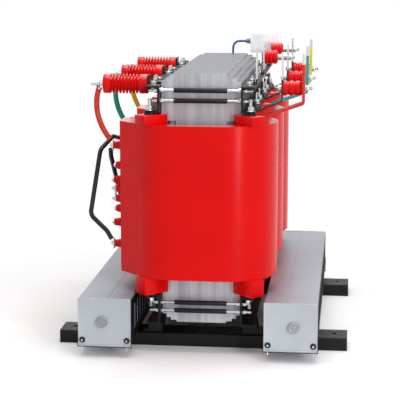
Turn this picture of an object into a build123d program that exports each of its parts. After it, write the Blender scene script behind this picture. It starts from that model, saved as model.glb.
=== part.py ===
"""Dry type transformer: three cast-resin legs on a stepped core, carried by two rails, with two fan boxes.

Millimetres. +X points to the low-voltage side, +Y runs along the core, +Z is up, and the floor is z = 0.
"""
import os
from math import acos, atan2, cos, hypot, pi, sin

from build123d import *

os.makedirs("parts", exist_ok=True)

# ---- driving dimensions ----
leg_pitch = 410
legs = (-leg_pitch, 0, leg_pitch)
rail_length, rail_width, rail_height, rail_wall = 1070, 120, 48, 6
rail_gauge = 820
rail_hole_x, rail_hole_radius = 487, 10
sides = (-1, 1)

core_end = 495                       # half length of the yokes
packet_half_x = (91, 112, 128, 143)  # half build of each packet, inner to outer
yoke_width = (170, 156, 136, 110)    # lamination width of the same packets in the yokes
limb_width = (170, 146, 114, 64)     # and in the legs, which fill a nearly round bore
yoke_bottom_z, yoke_top_z = 185, 930  # middle heights of the two yokes
limb_low, limb_high = 270, 845

clamp_inner, clamp_outer, clamp_wall = 146, 196, 7
clamp_half_length = 540
upper_clamp_z = (880, 973)
lower_clamp_z = (100, 210)
stud_y, stud_radius = 520, 6
upper_stud_z, lower_stud_z = (957, 920), (180, 150)

coil_low, coil_high = 280, 838
hv_straight, hv_radius, hv_bore_straight, hv_bore_radius = 82, 190, 58, 142
lv_straight, lv_radius, lv_bore_radius = 58, 122, 92
boss_face = -302                     # outer face of the terminal boss on the high-voltage side

fan_inner, fan_outer, fan_low, fan_high, fan_half_length = 240, 430, 52, 217, 640
fan_axis_x, fan_axis_z = 345, 132
sheet = 2

insulator_z, insulator_near, insulator_far = 968, -203, -367
lv_insulator_z = 958


def rounded_rod(points, radius, bend):
    """Solid round rod through the points, with each corner rounded to the bend radius."""
    with BuildPart() as rod:
        with BuildLine() as path:
            FilletPolyline(*points, radius=bend)
        with BuildSketch(Plane(origin=path.wire() @ 0, z_dir=path.wire() % 0)):
            Circle(radius)
        sweep()
    return rod.part


# ---- base ----
def rail(y):
    """Folded channel with its web up and four fixing holes through the web."""
    with BuildPart() as body:
        with BuildSketch(Plane.YZ):
            Rectangle(rail_width, rail_height, align=(Align.CENTER, Align.MIN))
            Rectangle(rail_width - 2 * rail_wall, rail_height - rail_wall,
                      align=(Align.CENTER, Align.MIN), mode=Mode.SUBTRACT)
        extrude(amount=rail_length / 2, both=True)
        long_edges = body.edges().filter_by(Axis.X).sort_by(Axis.Z)[-2:]
        fillet(long_edges, 5)
        with Locations((-rail_hole_x, 0, rail_height), (rail_hole_x, 0, rail_height)):
            Hole(rail_hole_radius)
    return Pos(0, y, 0) * body.part


with BuildPart() as base_rail_front:
    add(rail(-rail_gauge / 2))
base_rail_front.part.label = "base_rail_front"
export_step(base_rail_front.part, "parts/base_rail_front.step")

with BuildPart() as base_rail_rear:
    add(rail(rail_gauge / 2))
base_rail_rear.part.label = "base_rail_rear"
export_step(base_rail_rear.part, "parts/base_rail_rear.step")

# Angle feet that carry the lower clamps on the rails.
with BuildPart() as clamp_feet:
    for side in sides:
        for y in (-rail_gauge / 2, rail_gauge / 2):
            with BuildSketch(Plane.XZ.offset(-y - 45)):
                with BuildLine():
                    Polyline((side * 150, rail_height), (side * 222, rail_height), (side * 222, 56),
                             (side * 204, 60), (side * 198, lower_clamp_z[0]),
                             (side * 150, lower_clamp_z[0]), close=True)
                make_face()
            extrude(amount=90)
clamp_feet.part.label = "clamp_feet"
export_step(clamp_feet.part, "parts/clamp_feet.step")


# ---- core ----
def limb(y):
    """Leg of the core: the stepped packets give it a nearly round section."""
    with BuildPart() as body:
        with BuildSketch(Plane.XY.offset(limb_low)):
            with Locations((0, y)):
                for half, width in zip(packet_half_x, limb_width):
                    Rectangle(2 * half, width)
        extrude(amount=limb_high - limb_low)
    return body.part


def yoke(inner, outward, middle):
    """Beam of the core between the leg ends: flat where the legs meet it, stepped on its outer face."""
    with BuildPart() as body:
        for half, width in zip(packet_half_x, yoke_width):
            height = abs(middle + outward * width / 2 - inner)
            with BuildSketch(Plane.XZ):
                with Locations((0, inner + outward * height / 2)):
                    Rectangle(2 * half, height)
            extrude(amount=core_end, both=True)
    return body.part


with BuildPart() as core_limb_a:
    add(limb(legs[0]))
core_limb_a.part.label = "core_limb_a"
export_step(core_limb_a.part, "parts/core_limb_a.step")

with BuildPart() as core_limb_b:
    add(limb(legs[1]))
core_limb_b.part.label = "core_limb_b"
export_step(core_limb_b.part, "parts/core_limb_b.step")

with BuildPart() as core_limb_c:
    add(limb(legs[2]))
core_limb_c.part.label = "core_limb_c"
export_step(core_limb_c.part, "parts/core_limb_c.step")

with BuildPart() as core_yoke_bottom:
    add(yoke(limb_low, -1, yoke_bottom_z))
core_yoke_bottom.part.label = "core_yoke_bottom"
export_step(core_yoke_bottom.part, "parts/core_yoke_bottom.step")

with BuildPart() as core_yoke_top:
    add(yoke(limb_high, 1, yoke_top_z))
core_yoke_top.part.label = "core_yoke_top"
export_step(core_yoke_top.part, "parts/core_yoke_top.step")


# ---- clamps ----
def clamp(side, low, high, stud_heights):
    """Channel along the core with its web against the laminations and its flanges outward."""
    with BuildPart() as body:
        with BuildSketch(Plane.XZ):
            with Locations((side * (clamp_inner + clamp_outer) / 2, (low + high) / 2)):
                Rectangle(clamp_outer - clamp_inner, high - low)
            with Locations((side * (clamp_inner + clamp_outer + clamp_wall) / 2, (low + high) / 2)):
                Rectangle(clamp_outer - clamp_inner - clamp_wall, high - low - 2 * clamp_wall,
                          mode=Mode.SUBTRACT)
        extrude(amount=clamp_half_length, both=True)
        with BuildSketch(Plane.YZ.offset(side * (clamp_inner - 5))):
            with Locations(*[(y, z) for y in (-stud_y, stud_y) for z in stud_heights]):
                Circle(stud_radius + 1)
        extrude(amount=side * 20, mode=Mode.SUBTRACT)
    return body.part


with BuildPart() as upper_clamp_hv:
    add(clamp(-1, *upper_clamp_z, upper_stud_z))
upper_clamp_hv.part.label = "upper_clamp_hv"
export_step(upper_clamp_hv.part, "parts/upper_clamp_hv.step")

with BuildPart() as upper_clamp_lv:
    add(clamp(1, *upper_clamp_z, upper_stud_z))
upper_clamp_lv.part.label = "upper_clamp_lv"
export_step(upper_clamp_lv.part, "parts/upper_clamp_lv.step")

with BuildPart() as lower_clamp_hv:
    add(clamp(-1, *lower_clamp_z, lower_stud_z))
lower_clamp_hv.part.label = "lower_clamp_hv"
export_step(lower_clamp_hv.part, "parts/lower_clamp_hv.step")

with BuildPart() as lower_clamp_lv:
    add(clamp(1, *lower_clamp_z, lower_stud_z))
lower_clamp_lv.part.label = "lower_clamp_lv"
export_step(lower_clamp_lv.part, "parts/lower_clamp_lv.step")

# Tie studs across the core ends; the sleeves insulate them and the nuts pull the clamps together.
stud_half_length, sleeve_half_length, sleeve_radius = 186, 96, 10
stud_places = [(y, z) for y in (-stud_y, stud_y) for z in upper_stud_z + lower_stud_z]

with BuildPart() as tie_studs:
    with BuildSketch(Plane.YZ):
        with Locations(*stud_places):
            Circle(stud_radius)
    extrude(amount=stud_half_length, both=True)
tie_studs.part.label = "tie_studs"
export_step(tie_studs.part, "parts/tie_studs.step")

with BuildPart() as stud_sleeves:
    with BuildSketch(Plane.YZ):
        with Locations(*stud_places):
            Circle(sleeve_radius)
            Circle(stud_radius, mode=Mode.SUBTRACT)
    extrude(amount=sleeve_half_length, both=True)
stud_sleeves.part.label = "stud_sleeves"
export_step(stud_sleeves.part, "parts/stud_sleeves.step")

with BuildPart() as stud_nuts:
    for side in sides:
        with BuildSketch(Plane.YZ.offset(side * (clamp_inner + clamp_wall))):
            with Locations(*stud_places):
                RegularPolygon(10, 6)
                Circle(stud_radius, mode=Mode.SUBTRACT)
        extrude(amount=side * 12)
stud_nuts.part.label = "stud_nuts"
export_step(stud_nuts.part, "parts/stud_nuts.step")


# ---- coils ----
tap_heights = (667, 581, 543, 506)
terminal_heights = (742, 613, 454, 373)
boss_half_width = 50

# The boss's flanks run from its corners to where they touch the round end of the coil.
corner_reach = hypot(boss_face + hv_straight, boss_half_width)
touch_angle = atan2(boss_half_width, boss_face + hv_straight) - acos(hv_radius / corner_reach)
touch_x = -hv_straight + hv_radius * cos(touch_angle)
touch_y = hv_radius * sin(touch_angle)


def hv_coil(y):
    """Cast-resin high-voltage coil, drawn out on the -X side to a flat terminal boss of full height."""
    with BuildPart() as body:
        with BuildSketch(Plane.XY.offset(coil_low)):
            SlotCenterToCenter(2 * hv_straight, 2 * hv_radius)
            with BuildLine():
                Polyline((boss_face, boss_half_width), (touch_x, touch_y), (touch_x, -touch_y),
                         (boss_face, -boss_half_width), close=True)
            make_face()
        extrude(amount=coil_high - coil_low)
        chamfer(body.faces().sort_by(Axis.Z)[-1].edges(), 5)
        with BuildSketch(Plane.XY.offset(coil_low)):
            SlotCenterToCenter(2 * hv_bore_straight, 2 * hv_bore_radius)
        extrude(amount=coil_high - coil_low, mode=Mode.SUBTRACT)
    return Pos(0, y, 0) * body.part


def lv_coil(y):
    """Foil low-voltage coil inside the cooling duct, around one leg."""
    with BuildPart() as body:
        with BuildSketch(Plane.XY.offset(coil_low + 8)):
            SlotCenterToCenter(2 * lv_straight, 2 * lv_radius)
            SlotCenterToCenter(2 * lv_straight, 2 * lv_bore_radius, mode=Mode.SUBTRACT)
        extrude(amount=coil_high - coil_low - 16)
    return Pos(0, y, 0) * body.part


with BuildPart() as hv_coil_a:
    add(hv_coil(legs[0]))
hv_coil_a.part.label = "hv_coil_a"
export_step(hv_coil_a.part, "parts/hv_coil_a.step")

with BuildPart() as hv_coil_b:
    add(hv_coil(legs[1]))
hv_coil_b.part.label = "hv_coil_b"
export_step(hv_coil_b.part, "parts/hv_coil_b.step")

with BuildPart() as hv_coil_c:
    add(hv_coil(legs[2]))
hv_coil_c.part.label = "hv_coil_c"
export_step(hv_coil_c.part, "parts/hv_coil_c.step")

with BuildPart() as lv_coil_a:
    add(lv_coil(legs[0]))
lv_coil_a.part.label = "lv_coil_a"
export_step(lv_coil_a.part, "parts/lv_coil_a.step")

with BuildPart() as lv_coil_b:
    add(lv_coil(legs[1]))
lv_coil_b.part.label = "lv_coil_b"
export_step(lv_coil_b.part, "parts/lv_coil_b.step")

with BuildPart() as lv_coil_c:
    add(lv_coil(legs[2]))
lv_coil_c.part.label = "lv_coil_c"
export_step(lv_coil_c.part, "parts/lv_coil_c.step")

# Upright sticks that keep the cooling duct open between the two coils of each leg.
duct_gap = hv_bore_radius - lv_radius
with BuildPart() as duct_sticks:
    with BuildSketch(Plane.XY.offset(coil_low + 20)):
        for leg in legs:
            for side in sides:
                with Locations(*[(x, leg + side * (lv_radius + duct_gap / 2)) for x in (-40, 0, 40)]):
                    Rectangle(10, duct_gap)
    extrude(amount=coil_high - coil_low - 40)
duct_sticks.part.label = "duct_sticks"
export_step(duct_sticks.part, "parts/duct_sticks.step")

# Resin posts on the terminal boss: round collars, with bright studs that take the leads and links.
with BuildPart() as terminal_posts:
    for leg in legs:
        for z, tip in [(z, -326) for z in tap_heights] + [(z, -334) for z in terminal_heights]:
            with BuildSketch(Plane.YZ.offset(boss_face)):
                with Locations((leg, z)):
                    Circle(17)
            extrude(amount=tip - boss_face, taper=7)
terminal_posts.part.label = "terminal_posts"
export_step(terminal_posts.part, "parts/terminal_posts.step")


# ---- coil pads ----
pad_x, pad_outer_y = 176, 122       # middle of each pad, seen from its leg
pad_length, pad_width, pad_turn = 104, 60, 45
pad_top_high, pad_bottom_low = 872, 218

with BuildPart() as coil_pads:
    for low, high in ((coil_high, pad_top_high), (pad_bottom_low, coil_low)):
        for leg in legs:
            for side in sides:
                for end in sides:
                    with BuildSketch(Plane.XY.offset(low)):
                        with Locations(Location((side * pad_x, leg + end * pad_outer_y, 0),
                                                (0, 0, side * end * pad_turn))):
                            Rectangle(pad_length, pad_width)
                    extrude(amount=high - low)
    Box(2 * clamp_inner, 2 * core_end + 4, 3 * coil_high, mode=Mode.SUBTRACT)   # room for the yokes
coil_pads.part.label = "coil_pads"
export_step(coil_pads.part, "parts/coil_pads.step")

# Steel discs between clamp flange and pad: they spread the pressure of each clamp.
with BuildPart() as pressure_plates:
    places = [(side * 180, leg + end * pad_outer_y) for side in sides for leg in legs for end in sides]
    with BuildSketch(Plane.XY.offset(pad_top_high)):
        with Locations(*places):
            Circle(21)
    extrude(amount=upper_clamp_z[0] - pad_top_high)
    with BuildSketch(Plane.XY.offset(lower_clamp_z[1])):
        with Locations(*places):
            Circle(21)
    extrude(amount=pad_bottom_low - lower_clamp_z[1])
pressure_plates.part.label = "pressure_plates"
export_step(pressure_plates.part, "parts/pressure_plates.step")


# ---- high-voltage terminals ----
shed_radius, shaft_radius, cap_radius, shed_count = 36, 25, 35, 8
hv_stud_radius, hv_stud_tip, hv_lock_nut_x = 8, -415, -389


def hv_insulator(y):
    """Ribbed resin post lying along X, with plain caps at both ends."""
    cap_near, cap_far = insulator_near - 32, insulator_far + 27
    shed_pitch = (cap_near - cap_far) / (shed_count + 0.5)
    with BuildPart() as body:
        with BuildSketch(Plane.XZ):
            with BuildLine():
                corners = [(insulator_near, 0), (insulator_near, cap_radius), (cap_near, cap_radius),
                           (cap_near, shaft_radius)]
                for i in range(shed_count):
                    middle = cap_near - (i + 0.75) * shed_pitch
                    corners += [(middle + 4.5, shaft_radius), (middle + 1.5, shed_radius),
                                (middle - 1.5, shed_radius), (middle - 4.5, shaft_radius)]
                corners += [(cap_far, shaft_radius), (cap_far, cap_radius), (insulator_far, cap_radius),
                            (insulator_far, 0)]
                Polyline(*corners, close=True)
            make_face()
        revolve(axis=Axis.X)
    return Pos(0, y, insulator_z) * body.part


with BuildPart() as hv_insulators:
    for leg in legs:
        add(hv_insulator(leg))
hv_insulators.part.label = "hv_insulators"
export_step(hv_insulators.part, "parts/hv_insulators.step")


def flat_bar(points, width, thickness, y, bend):
    """Flat bar bent in the XZ plane, with its width along Y and centred on y."""
    with BuildPart() as bar:
        with BuildSketch(Plane.XZ.offset(-y - width / 2)):
            with BuildLine():
                FilletPolyline(*points, radius=bend)
            trace(line_width=thickness)
        extrude(amount=width)
    return bar.part


# Bent brackets: a foot bolted on the upper clamp and an upright plate behind each insulator.
bracket_points = ((-152, 975.5), (-200.5, 975.5), (-200.5, 1001))
with BuildPart() as hv_insulator_brackets:
    for leg in legs:
        add(flat_bar(bracket_points, 64, 5, leg, 3))
        with BuildSketch(Plane.YZ.offset(-203)):
            with Locations((leg, 961)):
                Rectangle(64, 40)
        extrude(amount=5)
hv_insulator_brackets.part.label = "hv_insulator_brackets"
export_step(hv_insulator_brackets.part, "parts/hv_insulator_brackets.step")

with BuildPart() as hv_terminal_studs:
    with BuildSketch(Plane.YZ.offset(insulator_far)):
        with Locations(*[(leg, insulator_z) for leg in legs]):
            Circle(hv_stud_radius)
    extrude(amount=hv_stud_tip - insulator_far)
    with BuildSketch(Plane.YZ.offset(insulator_far)):
        with Locations(*[(leg, insulator_z) for leg in legs]):
            RegularPolygon(13, 6)
    extrude(amount=-8)
    with BuildSketch(Plane.YZ.offset(hv_lock_nut_x)):
        with Locations(*[(leg, insulator_z) for leg in legs]):
            RegularPolygon(11, 6)
    extrude(amount=-8)
hv_terminal_studs.part.label = "hv_terminal_studs"
export_step(hv_terminal_studs.part, "parts/hv_terminal_studs.step")


# ---- high-voltage leads ----
lead_radius, link_radius, lug_face = 10, 8.5, -337

with BuildPart() as terminal_lugs:
    with BuildSketch(Plane.YZ.offset(lug_face)):
        with Locations(*[(leg, 742) for leg in legs] + [(leg, 373) for leg in legs]):
            RectangleRounded(26, 40, 8)
    extrude(amount=3)
terminal_lugs.part.label = "terminal_lugs"
export_step(terminal_lugs.part, "parts/terminal_lugs.step")


def hv_lead(y):
    """Insulated lead from the insulator stud down to the upper terminal of the coil."""
    points = ((-384, y, 955), (-395, y, 900), (-390, y, 850), (-373, y, 804), (-347, y, 764))
    with BuildPart() as lead:
        with BuildLine() as path:
            Spline(*points)
        with BuildSketch(Plane(origin=path.wire() @ 0, z_dir=path.wire() % 0)):
            Circle(lead_radius)
        sweep()
    return lead.part


with BuildPart() as hv_lead_a:
    add(hv_lead(legs[0]))
hv_lead_a.part.label = "hv_lead_a"
export_step(hv_lead_a.part, "parts/hv_lead_a.step")

with BuildPart() as hv_lead_b:
    add(hv_lead(legs[1]))
hv_lead_b.part.label = "hv_lead_b"
export_step(hv_lead_b.part, "parts/hv_lead_b.step")

with BuildPart() as hv_lead_c:
    add(hv_lead(legs[2]))
hv_lead_c.part.label = "hv_lead_c"
export_step(hv_lead_c.part, "parts/hv_lead_c.step")


def delta_link(y):
    """Insulated rod from the upper terminal at y down to the lower terminal of the next leg."""
    after = y + leg_pitch
    points = ((-348, y + 19, 722), (-353, y + 50, 694), (-353, after - 40, 404), (-346, after - 6, 386))
    return rounded_rod(points, link_radius, 36)


# The third link closes the delta: it starts at the last leg and swings out round the first one.
first, last = legs[0], legs[2]
closing_points = ((-348, last - 21, 728), (-372, last - 80, 720), (-372, -60, 720), (-374, -190, 744),
                  (-398, first + 80, 712), (-424, first, 478), (-362, first, 418), (-345, first, 388))
with BuildPart() as delta_links:
    add(delta_link(legs[0]))
    add(delta_link(legs[1]))
    add(rounded_rod(closing_points, link_radius, 36))
delta_links.part.label = "delta_links"
export_step(delta_links.part, "parts/delta_links.step")

# Bare tap links bridge two of the middle posts on each coil and carry the tap choice.
with BuildPart() as tap_links:
    for leg in legs:
        with BuildSketch(Plane.YZ.offset(-331)):
            with Locations((leg, 562)):
                Rectangle(20, 58)
        extrude(amount=5)
        with BuildSketch(Plane.YZ.offset(-331)):
            with Locations((leg, 581), (leg, 543)):
                RegularPolygon(9, 6)
        extrude(amount=-8)
tap_links.part.label = "tap_links"
export_step(tap_links.part, "parts/tap_links.step")


# ---- low-voltage side ----
bar_x, bar_top, bar_thickness, bar_width = 362, 1082, 10, 60
support_x, support_top, support_thickness, support_width = 285, 1086, 6, 40


def lv_busbar(y):
    """Phase bar from the low-voltage coil, out over the high-voltage coil and straight up."""
    points = ((166, 831), (166, 851), (206, 851), (bar_x, 905), (bar_x, bar_top))
    with BuildPart() as bar:
        add(flat_bar(points, bar_width, bar_thickness, y, 8))
        with BuildSketch(Plane.YZ.offset(bar_x - bar_thickness)):
            with Locations((y, bar_top - 22), (y, lv_insulator_z)):
                Circle(6.5)
        extrude(amount=2 * bar_thickness, mode=Mode.SUBTRACT)
    return bar.part


with BuildPart() as lv_busbar_a:
    add(lv_busbar(legs[0]))
lv_busbar_a.part.label = "lv_busbar_a"
export_step(lv_busbar_a.part, "parts/lv_busbar_a.step")

with BuildPart() as lv_busbar_b:
    add(lv_busbar(legs[1]))
lv_busbar_b.part.label = "lv_busbar_b"
export_step(lv_busbar_b.part, "parts/lv_busbar_b.step")

with BuildPart() as lv_busbar_c:
    add(lv_busbar(legs[2]))
lv_busbar_c.part.label = "lv_busbar_c"
export_step(lv_busbar_c.part, "parts/lv_busbar_c.step")

# Bent supports under the upper clamp: each holds a phase bar's insulator and ends in a bare tab.
support_points = ((165, 877), (204, 877), (support_x, 912), (support_x, support_top))
with BuildPart() as lv_supports:
    for leg in legs:
        with BuildSketch(Plane.XZ.offset(-leg - support_width / 2)):
            with BuildLine():
                FilletPolyline(*support_points, radius=6)
            trace(line_width=support_thickness)
        extrude(amount=support_width)
lv_supports.part.label = "lv_supports"
export_step(lv_supports.part, "parts/lv_supports.step")


def ribbed_post(near, far, height, y, radius, ribs):
    """Short resin post along X with evenly spaced round ribs."""
    pitch = (far - near) / ribs
    with BuildPart() as post:
        with BuildSketch(Plane.XZ):
            with BuildLine():
                corners = [(near, 0), (near, radius)]
                for i in range(ribs):
                    start = near + i * pitch
                    corners += [(start + pitch * 0.5, radius), (start + pitch * 0.6, radius - 6)]
                    if i < ribs - 1:
                        corners += [(start + pitch * 0.9, radius - 6), (start + pitch, radius)]
                corners += [(far, radius - 6), (far, 0)]
                Polyline(*corners, close=True)
            make_face()
        revolve(axis=Axis.X)
    return Pos(0, y, height) * post.part


support_face = support_x + support_thickness / 2
bar_face = bar_x - bar_thickness / 2
with BuildPart() as lv_insulators:
    for leg in legs:
        add(ribbed_post(support_face, bar_face, lv_insulator_z, leg, 27, 3))
lv_insulators.part.label = "lv_insulators"
export_step(lv_insulators.part, "parts/lv_insulators.step")

with BuildPart() as busbar_bolts:
    for leg in legs:
        with BuildSketch(Plane.YZ.offset(bar_x + bar_thickness / 2)):
            with Locations((leg, lv_insulator_z)):
                RegularPolygon(11, 6)
        extrude(amount=9)
        with BuildSketch(Plane.YZ.offset(bar_x + bar_thickness / 2)):
            with Locations((leg, lv_insulator_z)):
                Circle(6)
        extrude(amount=-bar_thickness)
busbar_bolts.part.label = "busbar_bolts"
export_step(busbar_bolts.part, "parts/busbar_bolts.step")

# Uprights on the low-voltage clamp: the first is the bare earth tab, the others carry posts.
upright_x, neutral_z, neutral_legs = 193, 1038, legs[1:]
with BuildPart() as clamp_uprights:
    for leg, top in zip(legs, (1105, 1068, 1068)):
        with BuildSketch(Plane.XZ.offset(-leg - 20)):
            with BuildLine():
                FilletPolyline((156, 976), (upright_x, 976), (upright_x, top), radius=5)
            trace(line_width=6)
        extrude(amount=40)
    with BuildSketch(Plane.YZ.offset(upright_x - 10)):
        with Locations((legs[0], 1085)):
            Circle(6.5)
    extrude(amount=20, mode=Mode.SUBTRACT)
clamp_uprights.part.label = "clamp_uprights"
export_step(clamp_uprights.part, "parts/clamp_uprights.step")

with BuildPart() as neutral_insulators:
    for leg in neutral_legs:
        add(ribbed_post(upright_x + 3, 246, neutral_z, leg, 27, 3))
neutral_insulators.part.label = "neutral_insulators"
export_step(neutral_insulators.part, "parts/neutral_insulators.step")

with BuildPart() as neutral_spacers:
    for leg in neutral_legs:
        with BuildSketch(Plane.YZ.offset(246)):
            with Locations((leg, neutral_z)):
                Circle(12)
        extrude(amount=support_x - support_thickness / 2 - 246)
neutral_spacers.part.label = "neutral_spacers"
export_step(neutral_spacers.part, "parts/neutral_spacers.step")

# Clamp bolts on the top flanges, between the brackets.
with BuildPart() as clamp_bolts:
    with BuildSketch(Plane.XY.offset(upper_clamp_z[1])):
        with Locations(*[(side * 172, leg + offset) for side in sides for leg in legs for offset in (-75, 75)]):
            RegularPolygon(12, 6)
    extrude(amount=10)
clamp_bolts.part.label = "clamp_bolts"
export_step(clamp_bolts.part, "parts/clamp_bolts.step")


# ---- temperature controller ----
box_x, box_y, box_z = (106, 232), (444, 530), (1022, 1107)
box_wall, gland_z, gland_y = 3, 1066, 498
box_centre = (sum(box_x) / 2, sum(box_y) / 2, sum(box_z) / 2)

with BuildPart() as controller_box:
    with Locations(box_centre):
        Box(box_x[1] - box_x[0], box_y[1] - box_y[0], box_z[1] - box_z[0])
    fillet(controller_box.edges().filter_by(Axis.Y), 6)
    with Locations((box_centre[0], box_centre[1] - box_wall, box_centre[2])):
        Box(box_x[1] - box_x[0] - 2 * box_wall, box_y[1] - box_y[0], box_z[1] - box_z[0] - 2 * box_wall,
            mode=Mode.SUBTRACT)
controller_box.part.label = "controller_box"
export_step(controller_box.part, "parts/controller_box.step")

with BuildPart() as controller_lid:
    with BuildSketch(Plane.XZ.offset(-box_y[0])):
        with Locations((box_centre[0], box_centre[2])):
            RectangleRounded(box_x[1] - box_x[0], box_z[1] - box_z[0], 6)
    extrude(amount=4)
controller_lid.part.label = "controller_lid"
export_step(controller_lid.part, "parts/controller_lid.step")

with BuildPart() as controller_board:
    with Locations((box_centre[0], box_centre[1] + 20, box_centre[2])):
        Box(100, 2, 64)
    with Locations((box_centre[0] - 24, box_centre[1] + 8, box_centre[2] + 5)):
        Box(34, 22, 34)
controller_board.part.label = "controller_board"
export_step(controller_board.part, "parts/controller_board.step")

with BuildPart() as controller_bracket:
    with BuildSketch(Plane.XZ.offset(-box_y[1])):
        with BuildLine():
            FilletPolyline((190, 974.5), (152, 974.5), (152, 1020.5), (220, 1020.5), radius=4)
        trace(line_width=3)
    extrude(amount=30)
controller_bracket.part.label = "controller_bracket"
export_step(controller_bracket.part, "parts/controller_bracket.step")

with BuildPart() as cable_gland:
    with BuildSketch(Plane.YZ.offset(box_x[0])):
        with Locations((gland_y, gland_z)):
            Circle(9)
            Circle(5, mode=Mode.SUBTRACT)
    extrude(amount=-26)
cable_gland.part.label = "cable_gland"
export_step(cable_gland.part, "parts/cable_gland.step")

cable_points = ((box_x[0] - 2, gland_y, gland_z), (30, gland_y, gland_z), (27, 503, 1000), (27, 503, 884),
                (28, 541, 836), (28, 541, 790))
with BuildPart() as sensor_cable:
    add(rounded_rod(cable_points, 4.5, 28))
sensor_cable.part.label = "sensor_cable"
export_step(sensor_cable.part, "parts/sensor_cable.step")


# ---- fan boxes ----
fan_middle_x = (fan_inner + fan_outer) / 2
fan_middle_z = (fan_low + fan_high) / 2
slot_pitch, slot_count = 62, 19
end_plate_low, end_plate_high = 40, 219
bearing_bore, shaft_radius_fan = 6.08, 6


def fan_sheet(side, bottom):
    """Flat sheet along a fan box, with its lower face at the given height."""
    with BuildPart() as body:
        with BuildSketch(Plane.XY.offset(bottom)):
            with Locations((side * fan_middle_x, 0)):
                Rectangle(fan_outer - fan_inner, 2 * fan_half_length)
        extrude(amount=sheet)
    return body.part


def fan_grille(wall_x):
    """Long side wall of a fan box, with a row of air slots."""
    with BuildPart() as body:
        with BuildSketch(Plane.YZ.offset(wall_x)):
            with Locations((0, fan_middle_z)):
                Rectangle(2 * fan_half_length, fan_high - fan_low - 2 * sheet)
                with GridLocations(slot_pitch, 1, slot_count, 1):
                    Rectangle(slot_pitch - 10, 90, mode=Mode.SUBTRACT)
        extrude(amount=sheet)
    return body.part


def end_plates(side):
    """Caps on both ends of a fan box, with a rounded motor or bearing cover in the middle."""
    with BuildPart() as body:
        for end in sides:
            with BuildSketch(Plane.XZ.offset(-end * fan_half_length)):
                with Locations((side * fan_middle_x, (end_plate_low + end_plate_high) / 2)):
                    RectangleRounded(fan_outer - fan_inner + 2, end_plate_high - end_plate_low, 3)
            extrude(amount=-end * 5)
            with BuildSketch(Plane.XZ.offset(-end * (fan_half_length + 5))):
                with Locations((side * fan_axis_x, fan_axis_z)):
                    Circle(20)
            extrude(amount=-end * 12)
    return body.part


def fan_impeller(side):
    """Cross-flow impeller: long curved-in blades between rings, on one shaft along Y."""
    blade_count, ring_places = 16, (-560, 0, 560)
    centre = (side * fan_axis_x, fan_axis_z)
    with BuildPart() as body:
        with BuildSketch(Plane.XZ):
            with Locations(centre):
                Circle(shaft_radius_fan)
        extrude(amount=fan_half_length - 6, both=True)
        with BuildSketch(Plane.XZ):
            with Locations(centre):
                with PolarLocations(37, blade_count):
                    Rectangle(13, 2.5, rotation=35)
        extrude(amount=560, both=True)
        for y in ring_places:
            with BuildSketch(Plane.XZ.offset(-y)):
                with Locations(centre):
                    Circle(45)
            extrude(amount=2, both=True)
    return body.part


def fan_motor(side):
    """Motor at the near end and a bearing block at the far end, both bored for the shaft."""
    with BuildPart() as body:
        for y, length, radius in ((-fan_half_length, 52, 40), (fan_half_length - 14, 14, 18)):
            with BuildSketch(Plane.XZ.offset(-y)):
                with Locations((side * fan_axis_x, fan_axis_z)):
                    Circle(radius)
                    Circle(bearing_bore, mode=Mode.SUBTRACT)
            extrude(amount=-length)
    return body.part


with BuildPart() as fan_covers:
    for side in sides:
        add(fan_sheet(side, fan_high - sheet))
fan_covers.part.label = "fan_covers"
export_step(fan_covers.part, "parts/fan_covers.step")

with BuildPart() as fan_bases:
    for side in sides:
        add(fan_sheet(side, fan_low))
fan_bases.part.label = "fan_bases"
export_step(fan_bases.part, "parts/fan_bases.step")

with BuildPart() as fan_grilles:
    for wall_x in (-fan_outer, -fan_inner - sheet, fan_inner, fan_outer - sheet):
        add(fan_grille(wall_x))
fan_grilles.part.label = "fan_grilles"
export_step(fan_grilles.part, "parts/fan_grilles.step")

with BuildPart() as fan_end_plates:
    for side in sides:
        add(end_plates(side))
fan_end_plates.part.label = "fan_end_plates"
export_step(fan_end_plates.part, "parts/fan_end_plates.step")

with BuildPart() as fan_impeller_hv:
    add(fan_impeller(-1))
fan_impeller_hv.part.label = "fan_impeller_hv"
export_step(fan_impeller_hv.part, "parts/fan_impeller_hv.step")

with BuildPart() as fan_impeller_lv:
    add(fan_impeller(1))
fan_impeller_lv.part.label = "fan_impeller_lv"
export_step(fan_impeller_lv.part, "parts/fan_impeller_lv.step")

with BuildPart() as fan_motors:
    for side in sides:
        add(fan_motor(side))
fan_motors.part.label = "fan_motors"
export_step(fan_motors.part, "parts/fan_motors.step")

# Flat strips between each fan box and the rails, and rubber plugs on the corner bolts.
with BuildPart() as fan_feet:
    for side in sides:
        for y in (-rail_gauge / 2, rail_gauge / 2):
            with BuildSketch(Plane.XY.offset(rail_height)):
                with Locations((side * fan_middle_x, y)):
                    Rectangle(160, 60)
            extrude(amount=fan_low - rail_height)
fan_feet.part.label = "fan_feet"
export_step(fan_feet.part, "parts/fan_feet.step")

with BuildPart() as corner_bolts:
    for side in sides:
        for end in sides:
            with BuildSketch(Plane.XZ.offset(-end * (fan_half_length + 5))):
                with Locations((side * (fan_inner + 14), 68), (side * (fan_outer - 14), 68)):
                    Circle(8)
            extrude(amount=-end * 6)
corner_bolts.part.label = "corner_bolts"
export_step(corner_bolts.part, "parts/corner_bolts.step")
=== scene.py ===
from math import acos, atan2, cos, hypot, pi, radians, sin, sqrt

import bpy
from mathutils import Matrix, Vector


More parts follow.
